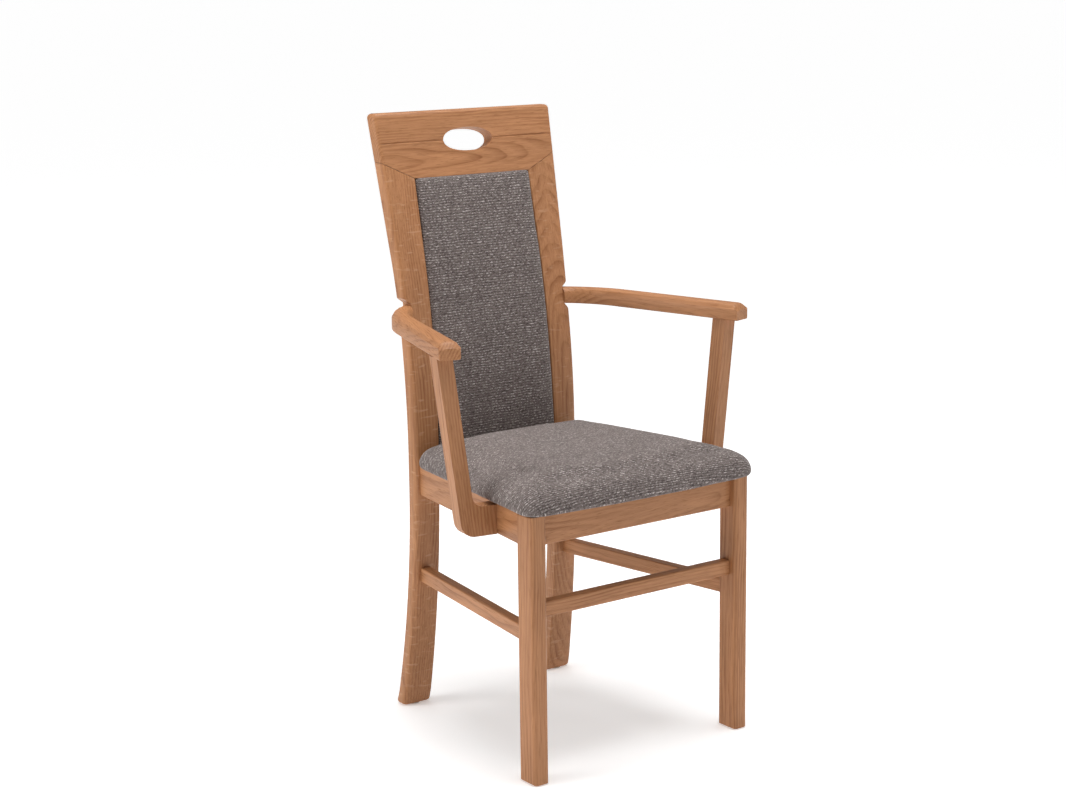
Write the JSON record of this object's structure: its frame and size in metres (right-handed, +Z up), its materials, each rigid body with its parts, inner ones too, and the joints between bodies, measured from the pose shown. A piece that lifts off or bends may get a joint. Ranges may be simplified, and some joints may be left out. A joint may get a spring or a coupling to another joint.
{
  "type": "dining armchair",
  "caption": "High-backed wooden dining armchair with curved open arms, upholstered seat and back panel, and an oval grip hole in the top rail.",
  "frame": {"origin": "on the floor, at the centre of the bounding box's footprint", "axes": "+Z up, the chair faces -Y, +X is the right side as seen from the front"},
  "size_m": [0.642, 0.5486, 1.052],
  "materials": {
    "oak": "oiled, satin",
    "beech": "planed, unfinished",
    "plywood": "sanded birch ply",
    "foam": "matt polyether foam",
    "upholstery": "matt woven melange",
    "dust_cloth": "matt non-woven",
    "zinc_steel": "zinc plated",
    "nylon": "satin"
  },
  "bodies": {
    "root": {"rear_leg_left": "oak", "rear_leg_right": "oak", "top_rail": "oak", "rear_rail": "oak", "front_leg_left": "oak", "front_leg_right": "oak", "front_rail": "oak", "side_rail_left": "oak", "side_rail_right": "oak", "front_stretcher": "oak", "side_stretcher_left": "oak", "side_stretcher_right": "oak", "armrest_left": "oak", "armrest_right": "oak", "arm_support_left": "oak", "arm_support_right": "oak", "corner_block_front_left": "beech", "corner_block_front_right": "beech", "corner_block_rear_left": "beech", "corner_block_rear_right": "beech", "seat_board": "plywood", "seat_foam": "foam", "seat_cover": "upholstery", "seat_dust_cover": "dust_cloth", "back_board": "plywood", "back_foam": "foam", "back_cover": "upholstery", "back_rear_cover": "upholstery", "rail_dowels": "beech", "stretcher_dowels": "beech", "top_rail_dowels": "beech", "arm_dowels": "beech", "support_dowels": "beech", "panel_pins": "beech", "support_screws": "zinc_steel", "block_screws": "zinc_steel", "seat_screws": "zinc_steel", "foot_glide_front_left": "nylon", "foot_glide_front_right": "nylon", "foot_glide_rear_left": "nylon", "foot_glide_rear_right": "nylon"}
  },
  "joints": []
}
